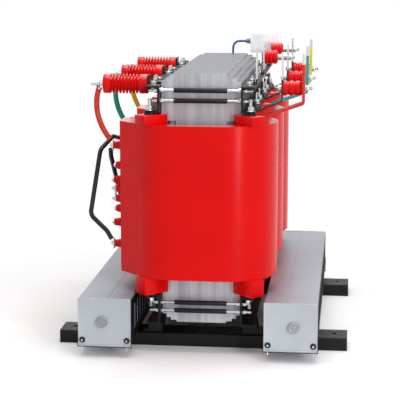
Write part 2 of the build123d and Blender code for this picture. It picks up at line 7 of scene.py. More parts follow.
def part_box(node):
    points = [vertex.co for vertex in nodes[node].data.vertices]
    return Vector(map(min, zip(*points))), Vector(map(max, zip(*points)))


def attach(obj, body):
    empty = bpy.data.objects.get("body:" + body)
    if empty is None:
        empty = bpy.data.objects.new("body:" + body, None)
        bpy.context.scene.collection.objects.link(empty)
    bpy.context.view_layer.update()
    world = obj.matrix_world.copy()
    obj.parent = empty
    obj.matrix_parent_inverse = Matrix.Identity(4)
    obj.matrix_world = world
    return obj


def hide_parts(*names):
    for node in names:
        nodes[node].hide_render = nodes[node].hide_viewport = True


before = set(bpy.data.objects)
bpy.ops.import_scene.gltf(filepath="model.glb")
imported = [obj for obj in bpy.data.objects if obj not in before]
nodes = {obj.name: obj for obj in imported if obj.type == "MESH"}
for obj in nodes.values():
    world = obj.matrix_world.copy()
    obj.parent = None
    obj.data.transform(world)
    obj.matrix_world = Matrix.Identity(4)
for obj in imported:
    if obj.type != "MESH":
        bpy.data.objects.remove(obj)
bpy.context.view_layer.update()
mm = 0.001
legs = {"a": -0.41, "b": 0.0, "c": 0.41}  # places of the three legs along Y
print("stage: frame loaded,", len(nodes), "nodes")


# ---- small tools for modelling ----
def deselectAll():
    if bpy.context.mode != "OBJECT":
        bpy.ops.object.mode_set(mode="OBJECT")
    bpy.ops.object.select_all(action="DESELECT")


def makeActive(piece):
    deselectAll()
    piece.select_set(True)
    bpy.context.view_layer.objects.active = piece


def startEdit(piece, mode="VERT"):
    makeActive(piece)
    bpy.ops.object.mode_set(mode="EDIT")
    bpy.ops.mesh.select_mode(type=mode)


def pickVertices(piece, test):
    startEdit(piece)
    bpy.ops.mesh.select_all(action="DESELECT")
    bpy.ops.object.mode_set(mode="OBJECT")
    for vertex in piece.data.vertices:
        vertex.select = test(vertex.co)
    bpy.ops.object.mode_set(mode="EDIT")


def pickFaces(piece, test):
    startEdit(piece, "FACE")
    bpy.ops.mesh.select_all(action="DESELECT")
    bpy.ops.object.mode_set(mode="OBJECT")
    for face in piece.data.polygons:
        face.select = test(face.center, face.normal)
    bpy.ops.object.mode_set(mode="EDIT")


def pickEdges(piece, test):
    startEdit(piece, "EDGE")
    bpy.ops.mesh.select_all(action="DESELECT")
    bpy.ops.object.mode_set(mode="OBJECT")
    points = piece.data.vertices
    for edge in piece.data.edges:
        edge.select = test(points[edge.vertices[0]].co, points[edge.vertices[1]].co)
    bpy.ops.object.mode_set(mode="EDIT")


def settle(piece, angle=35):
    makeActive(piece)
    bpy.ops.object.transform_apply(location=True, rotation=True, scale=True)
    bpy.ops.object.mode_set(mode="EDIT")
    bpy.ops.mesh.select_all(action="SELECT")
    bpy.ops.mesh.remove_doubles(threshold=0.00001)
    bpy.ops.mesh.normals_make_consistent(inside=False)
    bpy.ops.object.mode_set(mode="OBJECT")
    bpy.ops.object.shade_smooth_by_angle(angle=radians(angle))
    return piece


def applyModifier(piece, kind, **settings):
    makeActive(piece)
    modifier = piece.modifiers.new(kind.lower(), kind)
    for key, value in settings.items():
        setattr(modifier, key, value)
    bpy.ops.object.modifier_apply(modifier=modifier.name)
    return piece


def addBlock(name, low, high, bevel=0.0, segments=2):
    deselectAll()
    middle = [(a + b) / 2 for a, b in zip(low, high)]
    bpy.ops.mesh.primitive_cube_add(size=1, location=middle)
    piece = bpy.context.object
    piece.name = name
    piece.scale = [b - a for a, b in zip(low, high)]
    bpy.ops.object.transform_apply(location=True, rotation=True, scale=True)
    if bevel:
        applyModifier(piece, "BEVEL", width=bevel, segments=segments, limit_method="ANGLE")
    return piece


def turnAlong(name, stations, centre, direction, segments=40):
    # a turned piece: rings at (distance, radius) along the direction, starting from the centre
    deselectAll()
    distance, radius = stations[0]
    bpy.ops.mesh.primitive_circle_add(vertices=segments, radius=radius, fill_type="NGON", location=(0, 0, 0))
    piece = bpy.context.object
    piece.name = name
    bpy.ops.object.mode_set(mode="EDIT")
    bpy.ops.mesh.select_all(action="SELECT")
    bpy.ops.transform.translate(value=(0, 0, distance))
    for nextDistance, nextRadius in stations[1:]:
        bpy.ops.mesh.extrude_region_move(TRANSFORM_OT_translate={"value": (0, 0, nextDistance - distance)})
        grow = nextRadius / radius
        if grow != 1:
            bpy.ops.transform.resize(value=(grow, grow, 1), center_override=(0, 0, nextDistance))
        distance, radius = nextDistance, nextRadius
    bpy.ops.object.mode_set(mode="OBJECT")
    piece.rotation_euler = Vector((0, 0, 1)).rotation_difference(Vector(direction)).to_euler()
    piece.location = centre
    return settle(piece)


def copyPiece(piece, name, shift):
    twin = piece.copy()
    twin.data = piece.data.copy()
    twin.name = name
    bpy.context.collection.objects.link(twin)
    twin.data.transform(Matrix.Translation(shift))
    return twin


def joinPieces(name, pieces):
    deselectAll()
    for piece in pieces:
        piece.select_set(True)
    bpy.context.view_layer.objects.active = pieces[0]
    bpy.ops.object.join()
    pieces[0].name = name
    return pieces[0]


def cutWith(piece, cutter, operation="DIFFERENCE"):
    applyModifier(piece, "BOOLEAN", object=cutter, operation=operation, solver="EXACT")
    bpy.data.objects.remove(cutter, do_unlink=True)
    return piece


def fitPiece(piece, body, slotName, material, *replaced):
    piece.data.materials.clear()
    piece.data.materials.append(material)
    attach(piece, body)
    if replaced:
        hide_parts(*replaced)
    return piece


# ---- small tools for materials ----
def hexColour(code):
    channels = [int(code[i:i + 2], 16) / 255 for i in (1, 3, 5)]
    return tuple(c / 12.92 if c <= 0.04045 else ((c + 0.055) / 1.055) ** 2.4 for c in channels) + (1,)


def addNode(tree, kind, settings=None, links=None):
    node = tree.nodes.new("ShaderNode" + kind)
    for key, value in (settings or {}).items():
        if isinstance(key, int) or key in node.inputs:
            node.inputs[key].default_value = value
        else:
            setattr(node, key, value)
    for key, source in (links or {}).items():
        tree.links.new(source, node.inputs[key])
    return node


def newFinish(name, **settings):
    material = bpy.data.materials.new(name)
    material.use_nodes = True
    tree = material.node_tree
    shader = tree.nodes["Principled BSDF"]
    for key, value in settings.items():
        shader.inputs[key.replace("_", " ")].default_value = value
    place = addNode(tree, "TexCoord").outputs["Object"]
    return material, tree, shader, place


def noiseAt(tree, place, sizeMm, stretch=(1, 1, 1), detail=3.0):
    # noise whose grains are about sizeMm across, longer along an axis whose stretch is above 1
    scale = [1 / (sizeMm * mm * s) for s in stretch]
    mapped = addNode(tree, "Mapping", {"Scale": scale}, {"Vector": place}).outputs["Vector"]
    return addNode(tree, "TexNoise", {"Scale": 1.0, "Detail": detail}, {"Vector": mapped}).outputs["Fac"]


def spread(tree, source, low, high, fromLow=0.3, fromHigh=0.7):
    limits = {"From Min": fromLow, "From Max": fromHigh, "To Min": low, "To Max": high}
    return addNode(tree, "MapRange", limits, {"Value": source}).outputs["Result"]


def upwardness(tree):
    # 1 on faces that point straight up, 0 on upright ones
    normal = tree.nodes["Texture Coordinate"].outputs["Normal"]
    return addNode(tree, "SeparateXYZ", links={"Vector": normal}).outputs["Z"]


def sumOf(tree, factor, first, second):
    # first times the factor, plus second
    return addNode(tree, "Math", {"operation": "MULTIPLY_ADD", 1: factor}, {0: first, 2: second}).outputs[0]


def mixColours(tree, amount, first, second):
    mix = addNode(tree, "Mix", {"data_type": "RGBA"}, {0: amount})
    for socket, colour in ((6, first), (7, second)):
        if isinstance(colour, tuple):
            mix.inputs[socket].default_value = colour
        else:
            tree.links.new(colour, mix.inputs[socket])
    return mix.outputs[2]


def addBump(tree, shader, height, depthMm, strength=1.0):
    bump = addNode(tree, "Bump", {"Strength": strength, "Distance": depthMm * mm}, {"Height": height})
    tree.links.new(bump.outputs["Normal"], shader.inputs["Normal"])


# Cast epoxy resin: pigmented skin from a smooth mould, with a faint waviness and a sheen on its top faces.
def castResin(name, base, deep):
    material, tree, shader, place = newFinish(name, Roughness=0.3, Coat_IOR=1.5, Coat_Roughness=0.28)
    cloud = spread(tree, noiseAt(tree, place, 160), 0.0, 1.0)
    tree.links.new(mixColours(tree, cloud, hexColour(deep), hexColour(base)), shader.inputs["Base Color"])
    facing = upwardness(tree)
    topFace = spread(tree, facing, 0.0, 1.0, 0.55, 0.8)
    tree.links.new(spread(tree, topFace, 0.16, 0.6), shader.inputs["Specular IOR Level"])
    uneven = spread(tree, noiseAt(tree, place, 9, detail=2), 0.24, 0.3)
    tree.links.new(sumOf(tree, -0.14, topFace, uneven), shader.inputs["Roughness"])
    tree.links.new(spread(tree, facing, 0.0, 1.0, 0.9, 0.98), shader.inputs["Coat Weight"])
    addBump(tree, shader, noiseAt(tree, place, 14, detail=1), 0.03, 0.5)
    return material


# Enamel on steel: satin paint with a fine orange peel and paler, worn grains.
def steelEnamel(name, base, worn, rough=0.42):
    material, tree, shader, place = newFinish(name, Roughness=rough, Specular_IOR_Level=0.25)
    grains = spread(tree, noiseAt(tree, place, 14, detail=6), 0.0, 1.0, 0.55, 0.8)
    tree.links.new(mixColours(tree, grains, hexColour(base), hexColour(worn)), shader.inputs["Base Color"])
    patchy = spread(tree, noiseAt(tree, place, 25), rough - 0.08, rough + 0.1)
    tree.links.new(patchy, shader.inputs["Roughness"])
    addBump(tree, shader, noiseAt(tree, place, 2.5), 0.12, 0.5)
    return material


# Metal with drawn or rolled lines: the lines run along the axis with the large stretch.
def drawnMetal(name, base, deep, rough, stretch, lineMm=1.6, metallic=1.0):
    material, tree, shader, place = newFinish(name, Metallic=metallic)
    lines = noiseAt(tree, place, lineMm, stretch, detail=4)
    clouds = noiseAt(tree, place, 300, detail=2)
    tone = spread(tree, sumOf(tree, 0.5, lines, clouds), 0.0, 1.0, 0.55, 0.95)
    tree.links.new(mixColours(tree, tone, hexColour(deep), hexColour(base)), shader.inputs["Base Color"])
    tree.links.new(spread(tree, lines, rough - 0.06, rough + 0.08), shader.inputs["Roughness"])
    addBump(tree, shader, lines, 0.03, 0.4)
    return material


# Edges of stacked silicon steel: grey packets of unequal tone, each ruled with fine sheet lines.
# Real sheets are 0.3 mm thick; the lines are drawn coarser so that they show. The top faces are drawn darker,
# as painted shade.
def laminatedSteel(name):
    packetMm, sheetMm, alongScale = 24, 2.6, 3.0
    material, tree, shader, place = newFinish(name, Metallic=0.3)

    def stackTone(thicknessMm, detail):
        scale = (1 / (thicknessMm * mm), alongScale, alongScale)     # the sheets are stacked along X
        mapped = addNode(tree, "Mapping", {"Scale": scale}, {"Vector": place}).outputs["Vector"]
        return addNode(tree, "TexNoise", {"Scale": 1.0, "Detail": detail}, {"Vector": mapped}).outputs["Fac"]

    packetTone = spread(tree, stackTone(packetMm, 1.0), 0, 1, 0.35, 0.65)
    lineTone = stackTone(sheetMm, 2.0)
    base = mixColours(tree, packetTone, hexColour("#A9AAB0"), hexColour("#C6C7CD"))
    lined = mixColours(tree, spread(tree, lineTone, 0.4, 0.0, 0.3, 0.5), base, hexColour("#85868C"))
    # painted shade: faces that point up are mixed towards the darker grey #76777C
    upward = spread(tree, upwardness(tree), 0.0, 1.0, 0.5, 0.9)
    tree.links.new(mixColours(tree, upward, lined, hexColour("#76777C")), shader.inputs["Base Color"])
    tree.links.new(spread(tree, lineTone, 0.36, 0.5), shader.inputs["Roughness"])
    addBump(tree, shader, lineTone, 0.06, 0.4)
    return material


# Busbar: tinned copper, painted up to a line and bare above it.
def barFinish(name, paint, lineZ):
    material, tree, shader, place = newFinish(name)
    height = addNode(tree, "SeparateXYZ", links={"Vector": place}).outputs["Z"]
    ragged = sumOf(tree, 0.004, noiseAt(tree, place, 12), height)
    bareness = addNode(tree, "Math", {"operation": "GREATER_THAN", 1: lineZ + 0.002}, {0: ragged}).outputs[0]
    streaks = spread(tree, noiseAt(tree, place, 3, (1, 1, 30)), 0, 1)
    metal = mixColours(tree, streaks, hexColour("#C9BFBC"), hexColour("#E2DDDB"))
    grime = spread(tree, noiseAt(tree, place, 40), 0, 0.25)
    skin = mixColours(tree, grime, hexColour(paint), hexColour("#202020"))
    tree.links.new(mixColours(tree, bareness, skin, metal), shader.inputs["Base Color"])
    tree.links.new(spread(tree, bareness, 0.0, 0.85, 0, 1), shader.inputs["Metallic"])
    tree.links.new(spread(tree, streaks, 0.28, 0.42, 0, 1), shader.inputs["Roughness"])
    addBump(tree, shader, noiseAt(tree, place, 6), 0.1, 0.4)
    return material


# Silicone or rubber sleeve: soft sheen and a dusty mottle.
def rubberSleeve(name, base, dusty, rough=0.42):
    material, tree, shader, place = newFinish(name, Roughness=rough, Specular_IOR_Level=0.3)
    mottle = spread(tree, noiseAt(tree, place, 18, detail=5), 0.0, 0.6)
    tree.links.new(mixColours(tree, mottle, hexColour(base), hexColour(dusty)), shader.inputs["Base Color"])
    addBump(tree, shader, noiseAt(tree, place, 1.5), 0.08, 0.5)
    return material


finishes = {
    "resin": castResin("castEpoxyResin", "#E20405", "#DA0304"),
    "insulatorResin": castResin("insulatorEpoxy", "#E0100E", "#D00A09"),
    "blackSteel": steelEnamel("blackSteelEnamel", "#060708", "#15171A"),
    "blackGrille": steelEnamel("blackGrilleEnamel", "#08090A", "#17191C", 0.5),
    "aluminium": drawnMetal("rolledAluminium", "#A9AEB8", "#9EA3AD", 0.44, (1, 60, 1), metallic=0.5),
    "aluminiumPlate": drawnMetal("satinAluminiumPlate", "#BDC2C9", "#B2B7BF", 0.4, (60, 1, 60),
                                 metallic=0.45),
    "impeller": drawnMetal("impellerAluminium", "#A3A6AB", "#85888D", 0.4, (1, 60, 1), metallic=0.6),
    "zinc": drawnMetal("zincPlatedSteel", "#D9DCDD", "#B6BABD", 0.26, (1, 1, 1), 5.0),
    "core": laminatedSteel("laminatedCoreSteel"),
    "foil": drawnMetal("windingFoil", "#9C8462", "#7B6548", 0.5, (60, 60, 1), metallic=0.3),
    "stick": steelEnamel("glassFibreProfile", "#CFC5A0", "#B7AC86", 0.6),
    "redLead": rubberSleeve("redSiliconeSleeve", "#C42A18", "#D0452F"),
    "greenLead": rubberSleeve("greenSiliconeSleeve", "#0E8F7C", "#2BA08D"),
    "yellowLead": rubberSleeve("yellowSiliconeSleeve", "#D9A520", "#C8921A"),
    "blackRubber": rubberSleeve("blackRubberSleeve", "#070808", "#141517", 0.38),
    "blueCable": rubberSleeve("bluePvcJacket", "#1E4A8C", "#2B5FA6", 0.35),
    "gland": rubberSleeve("greyNylonGland", "#6C7A90", "#7F8DA3", 0.35),
    "redBar": barFinish("redPaintedBusbar", "#D3201F", 1.046),
    "greenBar": barFinish("greenPaintedBusbar", "#14A08C", 1.046),
    "yellowBar": barFinish("yellowPaintedBusbar", "#E6D24A", 1.046),
    "blackBar": barFinish("blackPaintedBar", "#17191B", 0.991),
    "whiteAbs": rubberSleeve("whiteAbsMoulding", "#FCFDFD", "#F4F6F8", 0.32),
    "board": steelEnamel("circuitLaminate", "#1C5A2E", "#2C7A42", 0.45),
    "motor": steelEnamel("motorEnamel", "#2A2C2F", "#3A3D41", 0.4),
}
print("stage: finishes made")

# ---- CAD nodes that stay, with better finishes ----
nodeFinishes = {
    "blackSteel": ["base_rail_front", "base_rail_rear", "clamp_feet", "upper_clamp_hv", "upper_clamp_lv",
                   "lower_clamp_hv", "lower_clamp_lv", "hv_insulator_brackets", "pressure_plates",
                   "controller_bracket", "fan_feet"],
    "core": ["core_limb_a", "core_limb_b", "core_limb_c", "core_yoke_bottom", "core_yoke_top"],
    "foil": ["lv_coil_a", "lv_coil_b", "lv_coil_c"],
    "zinc": ["tie_studs", "terminal_lugs", "neutral_spacers"],
    "stick": ["duct_sticks"],
    "redLead": ["hv_lead_a"], "greenLead": ["hv_lead_b"], "yellowLead": ["hv_lead_c"],
    "redBar": ["lv_busbar_a"], "greenBar": ["lv_busbar_b"], "yellowBar": ["lv_busbar_c"],
    "blackBar": ["lv_supports", "clamp_uprights"],
    "blackRubber": ["delta_links"],
    "blueCable": ["sensor_cable"], "board": ["controller_board"],
    "impeller": ["fan_impeller_hv", "fan_impeller_lv"], "motor": ["fan_motors"],
}
for finishName, names in nodeFinishes.items():
    for name in names:
        nodes[name].data.materials.clear()
        nodes[name].data.materials.append(finishes[finishName])
print("stage: CAD nodes dressed")


# ---- coils ----
coilSettings = {"straight": 0.082, "radius": 0.190, "boreStraight": 0.058, "boreRadius": 0.142,
                "edge": 0.008, "bossHalfWidth": 0.050, "segments": 160}


def stadiumBlock(name, straight, radius, low, high, y, segments):
    # a cylinder pulled apart in its middle, which gives the long round coil shape
    deselectAll()
    bpy.ops.mesh.primitive_cylinder_add(vertices=segments, radius=radius, depth=high - low,
                                        location=(0, 0, (low + high) / 2))
    block = bpy.context.object
    block.name = name
    bpy.ops.object.transform_apply(location=True, rotation=True, scale=True)
    for side in (-1, 1):
        pickVertices(block, lambda co: co.x * side > 0.0001)
        bpy.ops.transform.translate(value=(side * straight, 0, 0))
    deselectAll()
    block.data.transform(Matrix.Translation((0, y, 0)))
    return block


def makeCoil(letter):
    s = coilSettings
    low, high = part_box("hv_coil_" + letter)
    y = legs[letter]
    coil = stadiumBlock("coil_" + letter, s["straight"], s["radius"], low[2], high[2], y, s["segments"])
    reachX, reachY = low[0] + s["straight"], s["bossHalfWidth"]
    # the boss's flank leaves the round end at this angle, as its tangent
    touch = atan2(reachY, reachX) - acos(s["radius"] / hypot(reachX, reachY))
    touchX, touchY = s["radius"] * cos(touch) - s["straight"], s["radius"] * sin(touch)
    boss = addBlock("boss", (low[0], y - s["bossHalfWidth"], low[2]),
                    (touchX, y + s["bossHalfWidth"], high[2]))
    pickVertices(boss, lambda co: co.x > touchX - 0.001)
    bpy.ops.transform.resize(value=(1, touchY / s["bossHalfWidth"], 1), center_override=(touchX, y, 0))
    deselectAll()
    cutWith(coil, boss, "UNION")
    applyModifier(coil, "BEVEL", width=s["edge"], segments=3, limit_method="ANGLE", angle_limit=radians(55))
    bore = stadiumBlock("bore", s["boreStraight"], s["boreRadius"], low[2] - 0.02, high[2] + 0.02, y,
                        s["segments"])
    cutWith(coil, bore)
    settle(coil, 28)
    return fitPiece(coil, "frame", "red_cast_resin", finishes["resin"], "hv_coil_" + letter)


for letter in legs:
    makeCoil(letter)
print("stage: coils made")


# ---- fasteners ----
def hexBolt(name, place, direction, across, height, washer=None, tip=0.0):
    # a hexagon head or nut on its washer, with the end of the thread showing past it
    parts = []
    radius = across / sqrt(3)
    deselectAll()
    bpy.ops.mesh.primitive_cylinder_add(vertices=6, radius=radius, depth=height, location=(0, 0, height / 2))
    head = bpy.context.object
    bpy.ops.object.transform_apply(location=True, rotation=True, scale=True)
    head.data.transform(Matrix.Rotation(pi / 6, 4, "Z"))
    applyModifier(head, "BEVEL", width=min(across, height) * 0.08, segments=2, limit_method="ANGLE")
    parts.append(head)
    lift = 0.0
    if washer:
        lift = 0.0025
        head.data.transform(Matrix.Translation((0, 0, lift)))
        parts.append(turnAlong("washer", [(0, washer - 0.0006), (0.0006, washer), (lift - 0.0006, washer),
                                          (lift, washer - 0.0006)], (0, 0, 0), (0, 0, 1), 28))
    if tip:
        start = lift + height
        rings = [(start - 0.001, across * 0.27)]
        steps = max(2, int(tip / 0.0022))
        for i in range(steps):  # thread drawn as shallow rings
            rings.append((start + tip * (i + 0.5) / steps, across * 0.30))
            rings.append((start + tip * (i + 1) / steps, across * 0.265))
        parts.append(turnAlong("thread", rings, (0, 0, 0), (0, 0, 1), 16))
    bolt = joinPieces(name, parts)
    bolt.rotation_euler = Vector((0, 0, 1)).rotation_difference(Vector(direction)).to_euler()
    bolt.location = place
    return settle(bolt)


def boltSet(name, places, direction, slotName, finish, replaced, across, height, washer=None, tip=0.0):
    first = hexBolt(name, places[0], direction, across, height, washer, tip)
    others = [copyPiece(first, name + str(i), Vector(place) - Vector(places[0]))
              for i, place in enumerate(places[1:])]
    whole = joinPieces(name, [first] + others)
    return fitPiece(whole, "frame", slotName, finish, *replaced)


clampWeb, clampInner = 0.153, 0.1455                # faces of the clamps' webs
flangeTop, flangeLow, lowerFlange = 0.973, 0.887, 0.203
studHeights = (0.957, 0.920, 0.180, 0.150)
studEnds = [(y, z) for y in (-0.520, 0.520) for z in studHeights]
padBoltX, padBoltY, clampBoltX, clampBoltY = 0.180, 0.128, 0.172, 0.075
zinc, zincSlot = finishes["zinc"], "zinc_plated_steel"


def aroundLegs(x, offset, z):
    return [(x, y + end * offset, z) for y in legs.values() for end in (-1, 1)]


for side, sideName in ((-1, "Hv"), (1, "Lv")):
    outerEnds = [(side * clampWeb, y, z) for y, z in studEnds]
    boltSet("studNuts" + sideName, outerEnds, (side, 0, 0), zincSlot, zinc, ["stud_nuts"],
            0.0165, 0.010, 0.0085)
    innerEnds = [(side * clampInner, y, z) for y, z in studEnds]
    boltSet("innerNuts" + sideName, innerEnds, (-side, 0, 0), zincSlot, zinc, [], 0.0165, 0.008, 0.0105)
    boltSet("padBolts" + sideName, aroundLegs(side * padBoltX, padBoltY, flangeLow), (0, 0, 1), zincSlot, zinc,
            [], 0.024, 0.014, 0.0155, 0.026)
    boltSet("lowPadBolts" + sideName, aroundLegs(side * padBoltX, padBoltY, lowerFlange), (0, 0, -1), zincSlot,
            zinc, [], 0.024, 0.014, 0.0155, 0.018)
    boltSet("clampBolts" + sideName, aroundLegs(side * clampBoltX, clampBoltY, flangeTop), (0, 0, 1), zincSlot,
            zinc, ["clamp_bolts"], 0.021, 0.008, 0.0125, 0.004)
boltSet("bracketBolts", aroundLegs(-0.176, 0.018, 0.978), (0, 0, 1), zincSlot, zinc, [],
        0.018, 0.010, 0.011, 0.010)
print("stage: fasteners made")


# ---- sleeves on the tie studs ----
sleeve = {"halfLength": 0.096, "radius": 0.0086, "endRadius": 0.0075, "taper": 0.002}


def makeSleeves():
    s = sleeve
    stations = [(-s["halfLength"], s["endRadius"]), (-s["halfLength"] + s["taper"], s["radius"]),
                (s["halfLength"] - s["taper"], s["radius"]), (s["halfLength"], s["endRadius"])]
    sleeves = [turnAlong("sleeve", stations, (0, y, z), (1, 0, 0), 28) for y, z in studEnds]
    fitPiece(joinPieces("studSleeves", sleeves), "frame", "black_insulation", finishes["blackRubber"],
             "stud_sleeves")


makeSleeves()


# ---- pads between coils and clamps ----
padSettings = {"x": 0.176, "outerY": 0.122, "length": 0.104, "width": 0.060, "turn": 45, "edge": 0.003,
               "levels": ((0.838, 0.872), (0.218, 0.280)), "coreHalfX": 0.146, "coreHalfY": 0.497}


def makePads():
    s = padSettings
    pads = []
    for low, high in s["levels"]:
        for y in legs.values():
            for side in (-1, 1):
                for end in (-1, 1):
                    pad = addBlock("pad", (-s["length"] / 2, -s["width"] / 2, low),
                                   (s["length"] / 2, s["width"] / 2, high))
                    pad.data.transform(Matrix.Translation((side * s["x"], y + end * s["outerY"], 0))
                                       @ Matrix.Rotation(radians(side * end * s["turn"]), 4, "Z"))
                    cutWith(pad, addBlock("coreRoom", (-s["coreHalfX"], -s["coreHalfY"], low - 0.1),
                                          (s["coreHalfX"], s["coreHalfY"], high + 0.1)))
                    applyModifier(pad, "BEVEL", width=s["edge"], segments=2, limit_method="ANGLE")
                    pads.append(pad)
    whole = settle(joinPieces("coilPads", pads))
    return fitPiece(whole, "frame", "red_cast_resin", finishes["resin"], "coil_pads")


makePads()
print("stage: pads made")


# ---- high-voltage insulators and terminals ----
bushing = {"near": -0.203, "far": -0.367, "z": 0.968, "cap": 0.035, "shaft": 0.025, "shed": 0.036, "sheds": 8,
           "nearCap": 0.032, "farCap": 0.027, "round": 0.003}


def bushingStations():
    s = bushing
    length = s["near"] - s["far"]
    r, cap, shaft, shed = s["round"], s["cap"], s["shaft"], s["shed"]
    rings = [(0, cap - r), (r * 0.3, cap - r * 0.3), (r, cap), (s["nearCap"] - r, cap),
             (s["nearCap"] - r * 0.3, cap - r * 0.3), (s["nearCap"], cap - r), (s["nearCap"], shaft)]
    pitch = (length - s["nearCap"] - s["farCap"]) / (s["sheds"] + 0.5)
    for i in range(s["sheds"]):
        middle = s["nearCap"] + (i + 0.75) * pitch
        half = [(0.0048, shaft), (0.0030, shaft + 0.0015), (0.0018, shed - 0.0016), (0.0008, shed)]
        rings += [(middle - offset, radius) for offset, radius in half]
        rings += [(middle + offset, radius) for offset, radius in reversed(half)]
    start = length - s["farCap"]
    rings += [(start, shaft), (start, cap - r), (start + r * 0.3, cap - r * 0.3), (start + r, cap),
              (length - r, cap), (length - r * 0.3, cap - r * 0.3), (length, cap - r),
              (length, 0.015), (length - 0.001, 0.0145)]
    return rings


firstBushing = turnAlong("bushings", bushingStations(), (bushing["near"], legs["a"], bushing["z"]),
                         (-1, 0, 0), 56)
bushings = [firstBushing] + [copyPiece(firstBushing, "bushing" + k, (0, legs[k] - legs["a"], 0))
                             for k in "bc"]
fitPiece(joinPieces("hvBushings", bushings), "frame", "red_cast_resin", finishes["insulatorResin"],
         "hv_insulators")


def threadRings(start, end, radius, pitch=0.0025, depth=0.0007):
    count = int(abs(end - start) / pitch)
    step = (end - start) / count
    rings = [(start, radius - depth)]
    for i in range(count):
        rings += [(start + (i + 0.5) * step, radius), (start + (i + 1) * step, radius - depth)]
    return rings


terminal = {"nutAcross": 0.019, "lugEyeX": -0.382, "lockNutX": -0.389, "palmX": (-0.3865, -0.3825),
            "palmZ": (0.950, 0.962), "palmHalfWidth": 0.007, "leadEnd": (-0.384, 0.9545), "plain": 0.026,
            "threadStart": 0.028, "threadEnd": 0.0465, "length": 0.048, "radius": 0.008}


def makeTerminal(y):
    s = terminal
    root = (bushing["far"], y, bushing["z"])
    out = (-1, 0, 0)
    stud = [(0, s["radius"]), (s["plain"], s["radius"])]
    stud += threadRings(s["threadStart"], s["threadEnd"], s["radius"], depth=0.0004) + [(s["length"], 0.0062)]
    eye = [(0, 0.0125), (0.0005, 0.013), (0.0035, 0.013), (0.004, 0.0125)]
    ferrule = [(0, 0.009), (0.001, 0.0102), (0.006, 0.0103), (0.007, 0.0101)]
    return [turnAlong("stud", stud, root, out, 24),
            hexBolt("nut", root, out, s["nutAcross"], 0.007),
            turnAlong("lugEye", eye, (s["lugEyeX"], y, bushing["z"]), out, 32),
            hexBolt("lockNut", (s["lockNutX"], y, bushing["z"]), out, s["nutAcross"], 0.008),
            addBlock("palm", (s["palmX"][0], y - s["palmHalfWidth"], s["palmZ"][0]),
                     (s["palmX"][1], y + s["palmHalfWidth"], s["palmZ"][1]), 0.001),
            turnAlong("ferrule", ferrule, (s["leadEnd"][0], y, s["leadEnd"][1]), (-0.13, 0, -0.99), 28)]


terminalParts = sum([makeTerminal(y) for y in legs.values()], [])
fitPiece(settle(joinPieces("hvTerminals", terminalParts)), "frame", zincSlot, zinc, "hv_terminal_studs")
print("stage: high-voltage terminals made")


# ---- posts on the coil faces ----
postSettings = {"face": -0.302, "short": -0.326, "long": -0.334, "radius": 0.017, "tipRadius": 0.0132,
                "taps": (0.667, 0.581, 0.543, 0.506), "terminals": (0.742, 0.613, 0.454, 0.373),
                "linked": (0.581, 0.543), "lugged": (0.742, 0.373), "lugFace": -0.337,
                "linkDepth": 0.005, "linkHalfWidth": 0.010, "linkOverhang": 0.010}


def postRings(length):
    root, end = postSettings["radius"], postSettings["tipRadius"]
    return [(-0.004, root + 0.004), (0.001, root + 0.003), (0.003, root), (length - 0.002, end),
            (length, end - 0.002), (length, 0.006), (length - 0.001, 0.0055)]


def makePosts():
    s = postSettings
    posts, fixings = [], []
    for y in legs.values():
        for z in s["taps"] + s["terminals"]:
            tip = s["short"] if z in s["taps"] else s["long"]
            posts.append(turnAlong("post", postRings(s["face"] - tip), (s["face"], y, z), (-1, 0, 0), 28))
            boltX, thread = tip, 0
            if z in s["lugged"]:
                boltX, thread = s["lugFace"], 0.004
            elif z in s["linked"]:
                boltX, thread = tip - s["linkDepth"], 0.004
            fixings.append(hexBolt("postBolt", (boltX, y, z), (-1, 0, 0), 0.013, 0.005, 0.0085, thread))
        low = (s["short"] - s["linkDepth"], y - s["linkHalfWidth"], min(s["linked"]) - s["linkOverhang"])
        high = (s["short"], y + s["linkHalfWidth"], max(s["linked"]) + s["linkOverhang"])
        fixings.append(addBlock("tapLink", low, high, 0.0015))
    fitPiece(settle(joinPieces("coilPosts", posts)), "frame", "red_cast_resin", finishes["resin"],
             "terminal_posts")
    fitPiece(settle(joinPieces("tapLinks", fixings)), "frame", zincSlot, zinc, "tap_links")


makePosts()
print("stage: coil posts made")


# ---- low-voltage insulators and bolts ----
def ribbedStations(length, radius, ribs, neck):
    rings = []
    pitch = length / ribs
    for i in range(ribs):
        start = i * pitch
        rings += [(start, radius - 0.0025), (start + 0.0012, radius - 0.0006), (start + 0.003, radius),
                  (start + pitch * 0.55, radius), (start + pitch * 0.55 + 0.002, radius - 0.0015)]
        if i < ribs - 1:
            rings += [(start + pitch * 0.70, neck), (start + pitch * 0.92, neck)]
    rings += [(length - 0.001, radius - 0.006), (length, radius - 0.007)]
    return rings


lowVoltage = {"z": 0.958, "postStart": 0.288, "postLength": 0.069, "barFace": 0.367, "supportFace": 0.282,
              "neutralZ": 1.038, "neutralStart": 0.196, "neutralLength": 0.050, "neutralBoltX": 0.288,
              "uprightBoltX": 0.176, "uprightBoltZ": 0.979, "radius": 0.027, "neck": 0.0235, "ribs": 3}


def postRow(name, length, x, z, places, replaced):
    s = lowVoltage
    stations = ribbedStations(length, s["radius"], s["ribs"], s["neck"])
    row = [turnAlong(name, stations, (x, y, z), (1, 0, 0), 48) for y in places]
    fitPiece(joinPieces(name + "s", row), "frame", "red_cast_resin", finishes["insulatorResin"], replaced)


